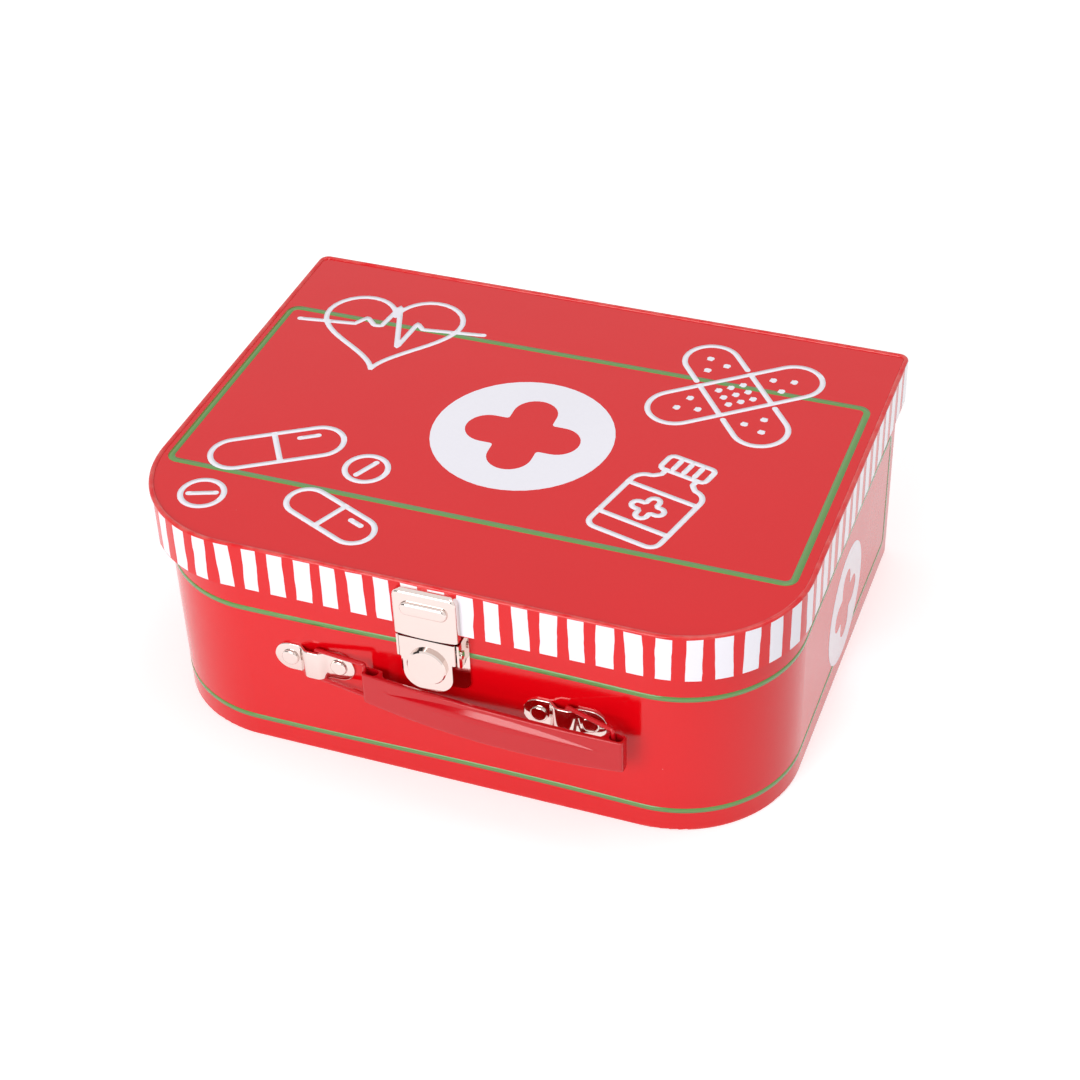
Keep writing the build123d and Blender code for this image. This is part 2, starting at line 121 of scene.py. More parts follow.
# %% Node helpers
def add(tree, kind, inputs=None, **settings):
    """Adds one node. An input is a value or another node's output."""
    node = tree.nodes.new(kind)
    for key, value in settings.items():
        setattr(node, key, value)
    for key, value in (inputs or {}).items():
        socket = node.inputs[key]
        if isinstance(value, bpy.types.NodeSocket):
            tree.links.new(value, socket)
        else:
            socket.default_value = value
    return node


def maths(tree, operation, *values):
    """The result of one Math node."""
    return add(tree, "ShaderNodeMath", dict(enumerate(values)), operation=operation).outputs[0]


def plus(tree, *values):
    """The sum of two numbers."""
    return maths(tree, "ADD", *values)


def minus(tree, *values):
    """The first number less the second."""
    return maths(tree, "SUBTRACT", *values)


def times(tree, *values):
    """The product of two numbers."""
    return maths(tree, "MULTIPLY", *values)


def between(tree, factor, low, high):
    """A number that goes from low to high as factor goes from 0 to 1."""
    return add(tree, "ShaderNodeMapRange", {0: factor, 3: low, 4: high}).outputs[0]


def mixed(tree, factor, first, second):
    """A colour between two others."""
    node = add(tree, "ShaderNodeMix", {0: factor, 6: first, 7: second}, data_type="RGBA")
    return node.outputs[2]


def noise(tree, where, scale, detail=2.0):
    """A noise between 0 and 1."""
    return add(tree, "ShaderNodeTexNoise", {"Vector": where, "Scale": scale, "Detail": detail}).outputs[0]


print("node helpers ready")

# %% [markdown]
# ## Shared finishes
# Three finishes return on many pieces, so each is a shader node group that is built once. The
# printed paper has ink that is never quite even, a film whose gloss changes a little, and a
# surface that ripples over the board beneath. The rubbed edge lightens paint or paper where
# hands and tables touch it. The polished metal has faint drawn lines and a warm stain. Every
# group only puts out colours, masks and heights; the shader itself stays in each material.

# %% Shader group helper
def shader_group(name, inputs, outputs):
    """An empty shader group with named sockets: returns the tree, its inputs and its outputs."""
    tree = bpy.data.node_groups.new(name, "ShaderNodeTree")
    kinds = {"number": "NodeSocketFloat", "colour": "NodeSocketColor", "place": "NodeSocketVector"}
    for label, kind in inputs.items():
        tree.interface.new_socket(name=label, in_out="INPUT", socket_type=kinds[kind])
    for label, kind in outputs.items():
        tree.interface.new_socket(name=label, in_out="OUTPUT", socket_type=kinds[kind])
    return tree, tree.nodes.new("NodeGroupInput").outputs, tree.nodes.new("NodeGroupOutput").inputs


print("group helper ready")

# %% Printed paper under a gloss film
printed_paper, given, result = shader_group(
    "printed_paper",
    {"Place": "place", "Ink": "colour", "Mottle": "number", "Gloss Low": "number", "Gloss High": "number"},
    {"Color": "colour", "Roughness": "number", "Height": "number"},
)
tree = printed_paper
coarse = noise(tree, given["Place"], 22.0, 3.0)
fine = noise(tree, given["Place"], 900.0, 2.0)
uneven = plus(tree, times(tree, coarse, 0.6), times(tree, fine, 0.4))
shade = add(tree, "ShaderNodeHueSaturation", {"Color": given["Ink"], "Value": between(
    tree, uneven, minus(tree, 1.0, given["Mottle"]), plus(tree, 1.0, given["Mottle"]))})
specks = add(tree, "ShaderNodeTexVoronoi", {"Vector": given["Place"], "Scale": 75.0})
dust = maths(tree, "LESS_THAN", specks.outputs["Distance"], 0.022)
sparse = maths(tree, "GREATER_THAN", noise(tree, given["Place"], 31.0, 1.0), 0.56)
dust = times(tree, times(tree, dust, sparse), 0.35)
tree.links.new(mixed(tree, dust, shade.outputs[0], (0.85, 0.62, 0.6, 1)), result["Color"])
smear = noise(tree, given["Place"], 14.0, 4.0)
tree.links.new(between(tree, smear, given["Gloss Low"], given["Gloss High"]), result["Roughness"])
ripple = noise(tree, given["Place"], 45.0, 1.0)
grain = times(tree, noise(tree, given["Place"], 700.0, 2.0), 0.03)
tree.links.new(plus(tree, ripple, grain), result["Height"])
print("printed_paper:", len(tree.nodes), "nodes")

# %% Rubbed edge
rubbed_edge, given, result = shader_group(
    "rubbed_edge",
    {"Place": "place", "Color": "colour", "Bare": "colour", "Height": "number", "Reach": "number",
     "Amount": "number"},
    {"Color": "colour", "Mask": "number"},
)
tree = rubbed_edge
along = add(tree, "ShaderNodeSeparateXYZ", {0: given["Place"]}).outputs["Z"]
away = maths(tree, "ABSOLUTE", minus(tree, along, given["Height"]))
near = minus(tree, 1.0, maths(tree, "MINIMUM", maths(tree, "DIVIDE", away, given["Reach"]), 1.0))
patchy = between(tree, noise(tree, given["Place"], 160.0, 4.0), -1.2, 2.2)
mask = times(tree, near, maths(tree, "MAXIMUM", patchy, 0.0))
mask = maths(tree, "MINIMUM", times(tree, mask, given["Amount"]), 1.0)
tree.links.new(mixed(tree, mask, given["Color"], given["Bare"]), result["Color"])
tree.links.new(mask, result["Mask"])
print("rubbed_edge:", len(tree.nodes), "nodes")

# %% Polished metal
polished_metal, given, result = shader_group(
    "polished_metal",
    {"Place": "place", "Color": "colour", "Stain": "colour", "Polish": "number"},
    {"Color": "colour", "Roughness": "number", "Height": "number"},
)
tree = polished_metal
clouds = noise(tree, given["Place"], 60.0, 3.0)
stained = times(tree, clouds, 0.5)
tree.links.new(mixed(tree, stained, given["Color"], given["Stain"]), result["Color"])
drawn = add(tree, "ShaderNodeMapping", {0: given["Place"], 3: (220.0, 220.0, 5200.0)})
lines = noise(tree, drawn.outputs[0], 1.0, 3.0)
dulled = times(tree, times(tree, lines, clouds), 0.12)
tree.links.new(plus(tree, given["Polish"], dulled), result["Roughness"])
tree.links.new(plus(tree, clouds, times(tree, lines, 0.02)), result["Height"])
print("polished_metal:", len(tree.nodes), "nodes")

# %% [markdown]
# ## Materials
# Each material is one Principled BSDF with the shared groups in front of it. The red board is a
# deep red ink: the paler look it has in a bright room is the room itself, mirrored in the film.
# That is why the film is smooth and the ink is darker than the case seems.

# %% Material helper
def material(name, group, values, bump=0.0, bump_distance=0.0001, **shader):
    """A Principled BSDF fed by one shared group, with its fixed numbers set on the shader."""
    made = bpy.data.materials.new(name)
    made.use_nodes = True
    tree = made.node_tree
    surface = tree.nodes["Principled BSDF"]
    for key, value in shader.items():
        surface.inputs[key.replace("_", " ")].default_value = value
    place = add(tree, "ShaderNodeTexCoord").outputs["Object"]
    finish = add(tree, "ShaderNodeGroup", {}, node_tree=group)
    tree.links.new(place, finish.inputs["Place"])
    for key, value in values.items():
        finish.inputs[key].default_value = value
    tree.links.new(finish.outputs["Color"], surface.inputs["Base Color"])
    tree.links.new(finish.outputs["Roughness"], surface.inputs["Roughness"])
    if bump:
        raised = add(tree, "ShaderNodeBump", {"Strength": bump, "Distance": bump_distance,
                                              "Height": finish.outputs["Height"]})
        tree.links.new(raised.outputs[0], surface.inputs["Normal"])
    return made


def rub(made, bare, height, reach, amount):
    """Puts the rubbed edge between a material's colour and its shader."""
    tree = made.node_tree
    surface = tree.nodes["Principled BSDF"]
    colour = surface.inputs["Base Color"].links[0].from_socket
    worn = add(tree, "ShaderNodeGroup", {}, node_tree=rubbed_edge)
    tree.links.new(add(tree, "ShaderNodeTexCoord").outputs["Object"], worn.inputs["Place"])
    tree.links.new(colour, worn.inputs["Color"])
    for key, value in {"Bare": bare, "Height": height, "Reach": reach, "Amount": amount}.items():
        worn.inputs[key].default_value = value
    tree.links.new(worn.outputs["Color"], surface.inputs["Base Color"])


print("material helper ready")

# %% Paper and board materials
RED_INK = (0.74, 0.001, 0.005, 1)
WHITE_INK = (0.9, 0.88, 0.95, 1)
GREEN_INK = (0.13, 0.31, 0.075, 1)
FILM = {"Gloss Low": 0.09, "Gloss High": 0.16, "Mottle": 0.05}
SHEEN = {"Specular_IOR_Level": 0.43}
BOARD_RIPPLE = {"bump": 0.25, "bump_distance": 0.0004}

board_red = material("board_red", printed_paper, {"Ink": RED_INK, **FILM}, **BOARD_RIPPLE, **SHEEN)
rim_red = material("rim_red", printed_paper, {"Ink": RED_INK, **FILM}, **BOARD_RIPPLE, **SHEEN)
ink_white = material("ink_white", printed_paper, {"Ink": WHITE_INK, **FILM}, **BOARD_RIPPLE)
ink_green = material("ink_green", printed_paper, {"Ink": GREEN_INK, **FILM}, **BOARD_RIPPLE)
rub(board_red, (0.72, 0.25, 0.2, 1), 0.0, 1.6 * MM, 0.35)
rub(rim_red, (0.75, 0.2, 0.17, 1), rim_high[2], 1.0 * MM, 0.45)
print("paper materials:", board_red.name, rim_red.name, ink_white.name, ink_green.name)

# %% Lining paper and hinge cloth
lining = material(
    "lining", printed_paper,
    {"Ink": (0.84, 0.82, 0.78, 1), "Gloss Low": 0.75, "Gloss High": 0.95, "Mottle": 0.04},
    bump=0.5, bump_distance=0.0002,
)
cloth = material(
    "cloth", printed_paper,
    {"Ink": (0.5, 0.012, 0.02, 1), "Gloss Low": 0.6, "Gloss High": 0.8, "Mottle": 0.1},
)
tree = cloth.node_tree
place = add(tree, "ShaderNodeTexCoord").outputs["Object"]
threads = [
    add(tree, "ShaderNodeTexWave", {"Vector": place, "Scale": 520.0, "Distortion": 0.6},
        bands_direction=direction).outputs[1]
    for direction in ("X", "Z")
]
weave = add(tree, "ShaderNodeBump", {"Strength": 0.6, "Distance": 0.0002,
                                     "Height": times(tree, *threads)})
tree.links.new(weave.outputs[0], tree.nodes["Principled BSDF"].inputs["Normal"])
print("lining and cloth ready")

# %% Metal and enamel
nickel = material(
    "nickel", polished_metal,
    {"Color": (0.82, 0.7, 0.66, 1), "Stain": (0.74, 0.63, 0.59, 1), "Polish": 0.045},
    bump=0.12, bump_distance=0.0002, Metallic=1.0,
)
spring_steel = material(
    "spring_steel", polished_metal,
    {"Color": (0.52, 0.53, 0.55, 1), "Stain": (0.4, 0.38, 0.36, 1), "Polish": 0.18},
    bump=0.2, bump_distance=0.0001, Metallic=1.0,
)
enamel = material(
    "enamel", printed_paper,
    {"Ink": (0.6, 0.004, 0.01, 1), "Gloss Low": 0.06, "Gloss High": 0.14, "Mottle": 0.06},
    bump=0.2, bump_distance=0.0002,
)
grip_red = material(
    "grip_red", printed_paper,
    {"Ink": (0.56, 0.002, 0.008, 1), "Gloss Low": 0.08, "Gloss High": 0.15, "Mottle": 0.04},
    bump=0.12, bump_distance=0.0003,
)
print("metal and enamel ready")

# %% [markdown]
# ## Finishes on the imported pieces
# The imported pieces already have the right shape, so they keep it and only change their finish.
# One table says which piece gets which material.

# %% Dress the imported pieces
FINISH = {
    board_red: ("base_wall", "base_rear_wall", "base_floor", "lid_top"),
    rim_red: ("lid_rim",),
    lining: ("lid_lining", "base_floor_lining", "base_wall_lining"),
    cloth: ("hinge_leaf_lid", "hinge_leaf_base"),
    nickel: (
        "latch_cap", "latch_catch", "latch_base_plate", "latch_pin", "latch_lever", "latch_button",
        "handle_clip_left", "handle_clip_right", "handle_rivets", "handle_washers",
        "latch_rivets", "latch_washers", "catch_rivets", "catch_washers",
    ),
    spring_steel: ("latch_spring",),
    enamel: ("handle_ring_left", "handle_ring_right"),
    grip_red: ("handle_grip",),
}
for finish, names in FINISH.items():
    for name in names:
        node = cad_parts[name]
        if not node.material_slots:
            node.data.materials.append(finish)
        for holder in node.material_slots:
            holder.material = finish
    print(finish.name, "on", len(names), "pieces")

# %% [markdown]
# ## Paths for the printing
# All the printing is drawn flat first, in millimetres, as it would be on the sheets of paper
# before they are glued on. A path is a list of points. The small helpers below draw arcs, boxes
# with round corners and turned or moved copies, which is all that the drawings need.

# %% Drawing helpers
def arc(centre, radius, start, end, steps=24):
    """Points on an arc, angles in degrees."""
    return [
        (centre[0] + radius * math.cos(math.radians(start + (end - start) * i / steps)),
         centre[1] + radius * math.sin(math.radians(start + (end - start) * i / steps)))
        for i in range(steps + 1)
    ]


def round_box(width, height, radius):
    """A closed box with round corners, centred on zero."""
    x, y = width / 2 - radius, height / 2 - radius
    points = []
    for corner, start in (((x, y), 0), ((-x, y), 90), ((-x, -y), 180), ((x, -y), 270)):
        points += arc(corner, radius, start, start + 90, 8)
    return points


def moved(points, to, turn=0.0):
    """A path turned about zero and then moved."""
    c, s = math.cos(math.radians(turn)), math.sin(math.radians(turn))
    return [(to[0] + c * x - s * y, to[1] + s * x + c * y) for x, y in points]


def drawn_paths(name, paths, size=MM):
    """A mesh of plain edges. Each path is its points and whether it closes on itself."""
    points, edges = [], []
    for path, closed in paths:
        first = len(points)
        points += [(x * size, y * size, 0) for x, y in path]
        edges += [(first + i, first + i + 1) for i in range(len(path) - 1)]
        if closed:
            edges.append((len(points) - 1, first))
    mesh = bpy.data.meshes.new(name)
    mesh.from_pydata(points, edges, [])
    return placed(name, mesh)


def outline(name, half, front, rear):
    """The plan of a wall as one open path: from the middle of the rear, past the front, and back."""
    x, front_y, rear_y = half - FRONT_RADIUS, front + FRONT_RADIUS, rear - REAR_RADIUS
    rear_x = half - REAR_RADIUS
    points = [(-0.0, rear)]
    points += arc((-rear_x, rear_y), REAR_RADIUS, 90, 180, 8)
    points += arc((-x, front_y), FRONT_RADIUS, 180, 270, 40)
    points += arc((x, front_y), FRONT_RADIUS, 270, 360, 40)
    points += arc((rear_x, rear_y), REAR_RADIUS, 0, 90, 8)
    points.append((0.0, rear))
    return drawn_paths(name, [(points, False)], 1.0)


rim_outline = outline("rim_outline", **RIM)
wall_outline = outline("wall_outline", **WALL)
print("outlines with", len(rim_outline.data.vertices), "points each")

# %% [markdown]
# ## Geometry Nodes for the ink
# Ink on a real case has almost no thickness. Here it is a closed layer of five hundredths of a
# millimetre that stands on the board. The trees share a few steps: making a tree with named
# inputs, closing a sheet into a layer, bending a flat drawing round a wall, and keeping the
# result as a plain mesh.

# %% Helpers for the ink trees
INK_THICK = 0.05 * MM
INK_SINK = 0.03 * MM  # the layer's back lies this deep in the board
WELD = 1e-6  # points closer than this become one


def ink_tree(name, numbers, objects=()):
    """An empty Geometry Nodes tree with named inputs: returns it, its inputs and its output."""
    tree = bpy.data.node_groups.new(name, "GeometryNodeTree")
    tree.interface.new_socket(name="Geometry", in_out="INPUT", socket_type="NodeSocketGeometry")
    tree.interface.new_socket(name="Geometry", in_out="OUTPUT", socket_type="NodeSocketGeometry")
    for label, value in numbers.items():
        kind = "NodeSocketInt" if isinstance(value, int) else "NodeSocketFloat"
        tree.interface.new_socket(name=label, in_out="INPUT", socket_type=kind).default_value = value
    for label in objects:
        tree.interface.new_socket(name=label, in_out="INPUT", socket_type="NodeSocketObject")
    tree.interface.new_socket(name="Ink", in_out="INPUT", socket_type="NodeSocketMaterial")
    given = tree.nodes.new("NodeGroupInput").outputs
    return tree, given, tree.nodes.new("NodeGroupOutput").inputs[0]


def finish_tree(tree, geometry, ink, output):
    """The last two nodes of every tree."""
    real = add(tree, "GeometryNodeRealizeInstances", {0: geometry})
    inked = add(tree, "GeometryNodeSetMaterial", {"Geometry": real.outputs[0], "Material": ink})
    tree.links.new(inked.outputs[0], output)


def together(tree, *parts):
    """Several geometries as one."""
    node = add(tree, "GeometryNodeJoinGeometry")
    for part in parts:
        tree.links.new(part, node.inputs[0])
    return node.outputs[0]


def closed_layer(tree, sheet, thickness):
    """A sheet whose faces point outwards becomes a closed layer."""
    raised = add(tree, "GeometryNodeExtrudeMesh", {
        "Mesh": sheet, "Offset Scale": thickness, "Individual": False})
    back = add(tree, "GeometryNodeFlipFaces", {0: sheet})
    both = together(tree, raised.outputs["Mesh"], back.outputs[0])
    welded = add(tree, "GeometryNodeMergeByDistance", {"Geometry": both, "Distance": WELD})
    return welded.outputs[0]


def on_wall(tree, curve, along, height, sink):
    """The place on a wall that lies so far round it from the middle of its front, and so high."""
    length = add(tree, "GeometryNodeCurveLength", {0: curve}).outputs[0]
    reached = plus(tree, times(tree, length, 0.5), along)
    sample = add(tree, "GeometryNodeSampleCurve", {"Curves": curve, "Length": reached}, mode="LENGTH")
    lifted = add(tree, "ShaderNodeCombineXYZ", {2: height}).outputs[0]
    place = add(tree, "ShaderNodeVectorMath", {0: sample.outputs["Position"], 1: lifted}, operation="ADD")
    outward = add(tree, "ShaderNodeVectorMath", {0: sample.outputs["Tangent"], 1: (0, 0, 1)},
                  operation="CROSS_PRODUCT")
    back = times(tree, sink, -1.0)
    inward = add(tree, "ShaderNodeVectorMath", {0: outward.outputs[0], 3: back}, operation="SCALE")
    return add(tree, "ShaderNodeVectorMath", {0: place.outputs[0], 1: inward.outputs[0]},
               operation="ADD").outputs[0]


def grown(name, source, steps):
    """Runs trees on an object, one after another, and keeps the result as a plain mesh."""
    for tree, values in steps:
        step = source.modifiers.new(tree.name, "NODES")
        step.node_group = tree
        for socket in tree.interface.items_tree:
            if socket.in_out == "INPUT" and socket.name in values:
                step[socket.identifier] = values[socket.name]
    bpy.context.view_layer.update()
    evaluated = source.evaluated_get(bpy.context.evaluated_depsgraph_get())
    mesh = bpy.data.meshes.new_from_object(evaluated)
    mesh.name = name
    piece = placed(name, mesh)
    if source not in (rim_outline, wall_outline):
        bpy.data.objects.remove(source)
    else:
        source.modifiers.clear()
    print(name, "has", len(mesh.polygons), "faces")
    return piece


# %% [markdown]
# ## Handle
# The handle is seen from close by, so its wires, its clips and its grip are drawn again here with
# the bends and rounded edges of the real ones. They keep to the space of the imported pieces, which
# stay in the scene but are hidden, and their places are read from those pieces.

# %% Places of the handle
CAD_WIRE = 1.0 * MM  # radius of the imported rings' wire
SIDES = ("left", "right")
ring_inner, ring_outer = {}, {}
for side in SIDES:
    low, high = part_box(f"handle_ring_{side}")
    middle = (low[2] + high[2]) / 2
    ring_inner[side] = Vector((low[0] + CAD_WIRE, high[1] - CAD_WIRE, middle))
    ring_outer[side] = Vector((high[0] - CAD_WIRE, low[1] + CAD_WIRE, middle))
ring_tall = (high[2] - low[2]) / MM - 2 * CAD_WIRE / MM
grip_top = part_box("handle_grip")[1][2]
print("wires in the grip at", *(tuple(round(v, 4) for v in ring_outer[side]) for side in SIDES))

# %% [markdown]
# ## Wire rings
# Each ring is one closed path of straight runs and round bends, and a tree gives it a round
# section. The inner run lies under the clip's bridge, and the outer one runs through the grip.

# %% Path of a ring
INNER_SIDE, INNER_BEND, OUTER_BEND = 15.4, 2.2, 3.2


def corner_arc(before, corner, after, radius, steps=10):
    """The points that round a corner of a flat path."""
    to_before = (Vector(before) - Vector(corner)).normalized()
    to_after = (Vector(after) - Vector(corner)).normalized()
    half = to_before.angle(to_after) / 2
    middle = (to_before + to_after).normalized()
    centre = Vector(corner) + middle * radius / math.sin(half)
    first = Vector(corner) + to_before * radius / math.tan(half) - centre
    last = Vector(corner) + to_after * radius / math.tan(half) - centre
    return [centre + first.slerp(last, i / steps) for i in range(steps + 1)]


def ring_path(side):
    """The middle line of a ring's wire."""
    reach = ring_outer[side] - ring_inner[side]
    far = reach.length / MM
    corners = [(0, -INNER_SIDE / 2), (0, INNER_SIDE / 2), (far, ring_tall / 2), (far, -ring_tall / 2)]
    path = []
    for i, bend in enumerate((INNER_BEND, INNER_BEND, OUTER_BEND, OUTER_BEND)):
        path += corner_arc(corners[i - 1], corners[i], corners[(i + 1) % 4], bend)
    return [ring_inner[side] + reach.normalized() * p.x * MM + Vector((0, 0, p.y * MM)) for p in path]


print("a ring's path has", len(ring_path("left")), "points")

# %% Rings
wire_tree, given, output = ink_tree("bent_wire", {"Radius": 0.85 * MM, "Sides": 16})
tree = wire_tree
curve = add(tree, "GeometryNodeMeshToCurve", {0: given["Geometry"]})
section = add(tree, "GeometryNodeCurvePrimitiveCircle", {
    "Resolution": given["Sides"], "Radius": given["Radius"]})
wire = add(tree, "GeometryNodeCurveToMesh", {
    "Curve": curve.outputs[0], "Profile Curve": section.outputs[0]})
smooth = add(tree, "GeometryNodeSetShadeSmooth", {"Geometry": wire.outputs[0]})
finish_tree(tree, smooth.outputs[0], given["Ink"], output)

for side in SIDES:
    points = ring_path(side)
    mesh = bpy.data.meshes.new(f"wire_ring_{side}_path")
    mesh.from_pydata(points, [(i, (i + 1) % len(points)) for i in range(len(points))], [])
    ring = grown(f"wire_ring_{side}", placed(mesh.name, mesh), [(wire_tree, {"Ink": enamel})])
    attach(ring, f"handle_ring_{side}")
    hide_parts(f"handle_ring_{side}")

# %% [markdown]
# ## Clips and grip
# Both are skins over a row of sections: a ring of points is worked out at each place along the
# piece, and neighbouring rings are joined by faces. The clip's sections follow its bridge over
# the wire. The grip's follow its bow and its belly, and they carry the lens-shaped rib in front.

# %% Skin over a row of sections
SHARP = math.radians(35)  # an edge that turns by more than this stays sharp


def lofted(name, sections, finish):
    """A closed skin over a row of sections, each a ring of as many points."""
    count = len(sections[0])
    points = [point for section in sections for point in section]
    faces = [tuple(reversed(range(count))), tuple(range(len(points) - count, len(points)))]
    for row in range(len(sections) - 1):
        for i in range(count):
            a, b = row * count + i, row * count + (i + 1) % count
            faces.append((a, b, b + count, a + count))
    mesh = bpy.data.meshes.new(name)
    mesh.from_pydata(points, [], faces)
    shell = bmesh.new()
    shell.from_mesh(mesh)
    bmesh.ops.recalc_face_normals(shell, faces=shell.faces)
    shell.to_mesh(mesh)
    shell.free()
    mesh.shade_smooth()
    mesh.set_sharp_from_angle(angle=SHARP)
    mesh.materials.append(finish)
    return placed(name, mesh)


def eased(t):
    """Goes smoothly from 0 to 1."""
    t = min(max(t, 0.0), 1.0)
    return t * t * (3 - 2 * t)


print("skin helper ready")

# %% Clips
RIVET_HALF, LOBE, CLIP_SHEET, CLIP_EDGE = 9.6, 6.1, 0.95, 0.35
BRIDGE_RISE, BRIDGE_TOP, BRIDGE_FOOT = 2.6, 1.7, 5.8
SLOPE_REACH = 0.05  # the slope at a place is read this far to both sides
HALF_STEPS = 24
clip_stations = [-RIVET_HALF - LOBE * math.sin(math.radians(a)) for a in range(86, 0, -7)]
clip_stations += [-RIVET_HALF + RIVET_HALF * i / HALF_STEPS for i in range(HALF_STEPS)]
clip_stations += [-x for x in reversed(clip_stations)]


def bridge(x):
    """How far the clip's inner face stands off the wall."""
    return BRIDGE_RISE * (1 - eased((abs(x) - BRIDGE_TOP) / (BRIDGE_FOOT - BRIDGE_TOP)))


def clip_section(x):
    """Across the strip: inner face, rounded outer edges, outer face."""
    past = max(abs(x) - RIVET_HALF, 0.0)
    half = math.sqrt(LOBE * LOBE - past * past)
    slope = math.atan2(bridge(x + SLOPE_REACH) - bridge(x - SLOPE_REACH), 2 * SLOPE_REACH)
    edge = min(CLIP_EDGE, half * 0.5)
    ring = [(0, -half), (CLIP_SHEET - edge, -half)]
    ring += arc((CLIP_SHEET - edge, -half + edge), edge, -60, 0, 2)
    ring += [(out, -z) for out, z in reversed(ring)]
    return [(x - out * math.sin(slope), bridge(x) + out * math.cos(slope), z) for out, z in ring]


for side in SIDES:
    low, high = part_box(f"handle_clip_{side}")
    x0, wall, z0 = (low[0] + high[0]) / 2, high[1], (low[2] + high[2]) / 2
    sections = [
        [(x0 + x * MM, wall - out * MM, z0 + z * MM) for x, out, z in clip_section(station)]
        for station in clip_stations
    ]
    clip = lofted(f"clip_strap_{side}", sections, nickel)
    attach(clip, "base")
    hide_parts(f"handle_clip_{side}")
print("clips with", len(clip_stations), "sections each")

# %% Sections of the grip
GRIP_TALL, GRIP_THICK, GRIP_EDGE = 13.4, 2.0, 0.6
GRIP_BOW, GRIP_BELLY = 1.7, 2.9
SLOT_LONG, SLOT_WIDE, SLOT_WALL, SLOT_INBOARD = 5.0, 3.4, 0.7, 0.7
TIP_ROUND, LOOP_FADE = 0.9, 1.8
RIB_LONG, RIB_RISE, RIB_PROUD, RIB_LIP, LIP_UNDER = 81.6, 4.3, 2.0, 7.5, 0.2
RIB_LEAST, UNDER_LEAST = 0.12, 0.08  # heights of the rib's faces where it has run out
grip_line = ring_outer["right"] - ring_outer["left"]
grip_long = grip_line.length / MM
grip_along = grip_line.normalized()
grip_out = Vector((grip_along.y, -grip_along.x, 0))
grip_foot = Vector((ring_outer["left"].x, ring_outer["left"].y, grip_top - GRIP_TALL * MM))
loop_half = SLOT_WIDE / 2 + SLOT_WALL
tip = SLOT_LONG / 2 + SLOT_WALL - SLOT_INBOARD
loop_inner = SLOT_LONG / 2 + SLOT_WALL + SLOT_INBOARD


def quarter(centre, radius, start, steps=5):
    """A quarter of a circle, for one rounded edge of a section."""
    return arc(centre, radius, start, start - 90, steps)


def grip_section(x):
    """Across the grip at x from its left wire: a ring of (out, height)."""
    share = (x + tip) / (grip_long + 2 * tip)
    arch = 4 * share * (1 - share)
    front = loop_half + GRIP_BOW * arch
    from_end = min(x, grip_long - x)
    back = -loop_half + (front - GRIP_THICK + loop_half) * eased((from_end - loop_inner) / LOOP_FADE)
    shrink = max(TIP_ROUND - from_end - tip, 0.0)
    inset = TIP_ROUND - math.sqrt(max(TIP_ROUND**2 - shrink**2, 0.0))
    front, back = front - inset, back + inset
    foot = -GRIP_BELLY * arch
    proud = RIB_PROUD * max(1 - (2 * (x - grip_long / 2) / RIB_LONG) ** 2, 0.0)
    rise = max(RIB_RISE * proud / RIB_PROUD, RIB_LEAST)
    under = max(LIP_UNDER * proud / RIB_PROUD, UNDER_LEAST)
    top, e = GRIP_TALL, GRIP_EDGE
    ring = quarter((back + e, top - e), e, 180) + quarter((front - e, top - e), e, 90)
    ring += [(front, top - e + (RIB_LIP + rise - top + e) * i / 3) for i in (1, 2)]
    ring += [(front + proud * math.sin(math.pi / 2 * i / 8), RIB_LIP + rise * (1 - i / 8)) for i in range(9)]
    ring += [(front + proud * 0.6, RIB_LIP - under / 2), (front, RIB_LIP - under)]
    ring += [(front, RIB_LIP - under + (foot + e - RIB_LIP + under) * i / 5) for i in range(1, 5)]
    ring += quarter((front - e, foot + e), e, 0) + quarter((back + e, foot + e), e, -90)
    return ring


def grip_place(x, out, height):
    """A point of the grip in the case's own place."""
    return grip_foot + grip_along * x * MM + grip_out * out * MM + Vector((0, 0, height * MM))


print("grip sections of", len(grip_section(0)), "points")

# %% Grip
END_STEP, END_STEPS, MIDDLE_STEPS = 0.5, 13, 80
SLOT_PAST = 2  # the pieces that cut the slots stand out of the grip by this much
end_steps = [-tip + TIP_ROUND * (1 - math.cos(math.radians(a))) for a in range(0, 91, 15)]
end_steps += [end_steps[-1] + END_STEP * i for i in range(1, END_STEPS + 1)]
run = grip_long - 2 * end_steps[-1]
middle_steps = [end_steps[-1] + run * i / MIDDLE_STEPS for i in range(1, MIDDLE_STEPS)]
grip_stations = end_steps + middle_steps + [grip_long - x for x in reversed(end_steps)]
grip_blank = lofted(
    "grip_blank", [[grip_place(x, *pair) for pair in grip_section(x)] for x in grip_stations], grip_red)

slots = []
for middle in (SLOT_INBOARD, grip_long - SLOT_INBOARD):
    straight_half = (SLOT_LONG - SLOT_WIDE) / 2
    ring = arc((middle + straight_half, 0), SLOT_WIDE / 2, -90, 90, 12)
    ring += arc((middle - straight_half, 0), SLOT_WIDE / 2, 90, 270, 12)
    levels = (-SLOT_PAST, GRIP_TALL + SLOT_PAST)
    slots.append(lofted("slot", [[grip_place(x, out, z) for x, out in ring] for z in levels], grip_red))

